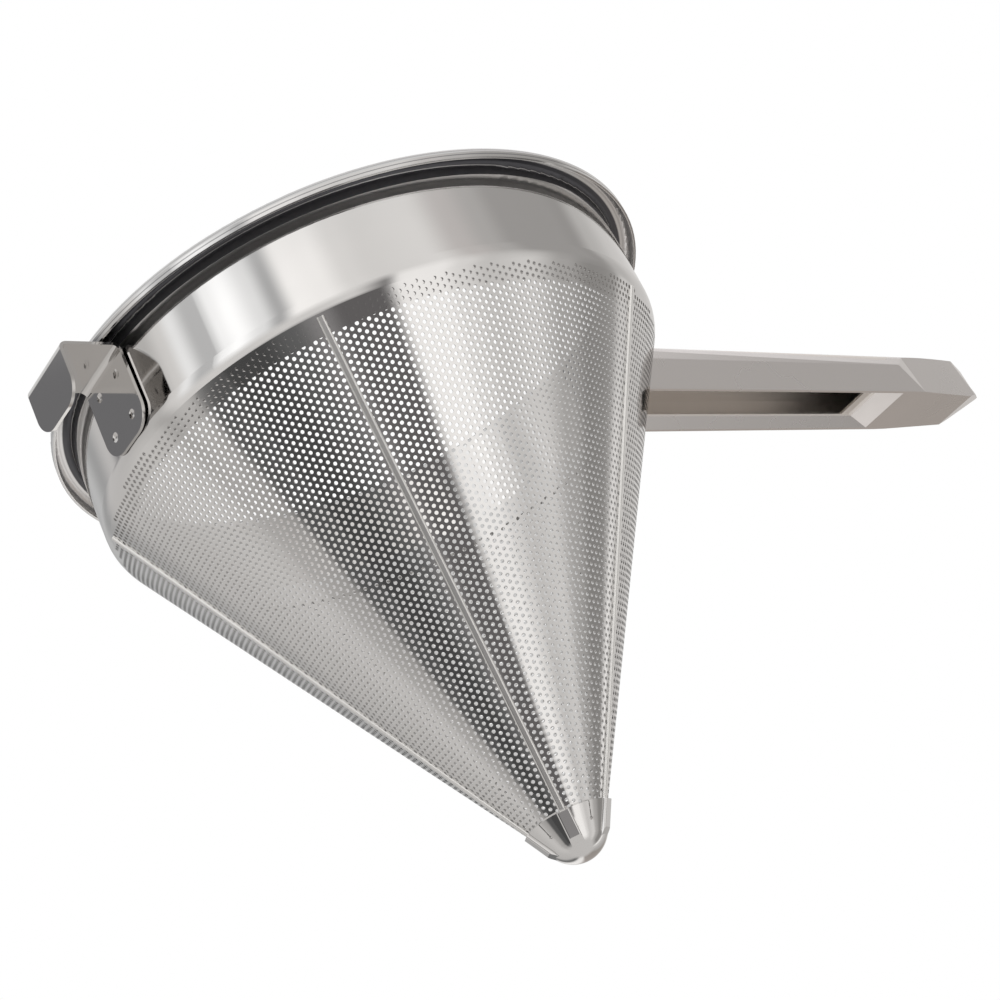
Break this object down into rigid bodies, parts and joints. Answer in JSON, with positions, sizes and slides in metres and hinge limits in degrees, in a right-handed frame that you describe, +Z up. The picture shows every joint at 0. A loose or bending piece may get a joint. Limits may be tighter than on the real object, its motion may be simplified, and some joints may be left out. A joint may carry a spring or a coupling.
{
  "type": "chinois strainer",
  "caption": "Cone strainer of perforated sheet steel with a rolled-rim collar, outer ribs, a rounded tip cap, a hollow handle and a rest hook.",
  "frame": {"origin": "on the cone's axis, at the top of the collar's straight wall, in the plane of the mouth", "axes": "+Z up out of the mouth, along the cone's axis; +X along the handle, away from the bowl; the rest hook is at -X"},
  "size_m": [0.5917, 0.26, 0.2357],
  "materials": {
    "collar_steel": "mirror polished",
    "perforated_steel": "bright rolled sheet",
    "rib_steel": "bright drawn",
    "cap_steel": "polished",
    "hook_steel": "bright rolled strip",
    "saddle_steel": "bright rolled sheet",
    "weld_steel": "as welded",
    "handle_steel": "satin"
  },
  "bodies": {
    "root": {"collar": "collar_steel", "cone_sheet": "perforated_steel", "handle_saddle": "saddle_steel", "handle_shell": "handle_steel", "handle_welds": "weld_steel", "hook_welds": "weld_steel", "rest_hook": "hook_steel", "rib_1": "rib_steel", "rib_2": "rib_steel", "rib_3": "rib_steel", "rib_4": "rib_steel", "rib_5": "rib_steel", "tip_cap": "cap_steel"}
  },
  "joints": []
}
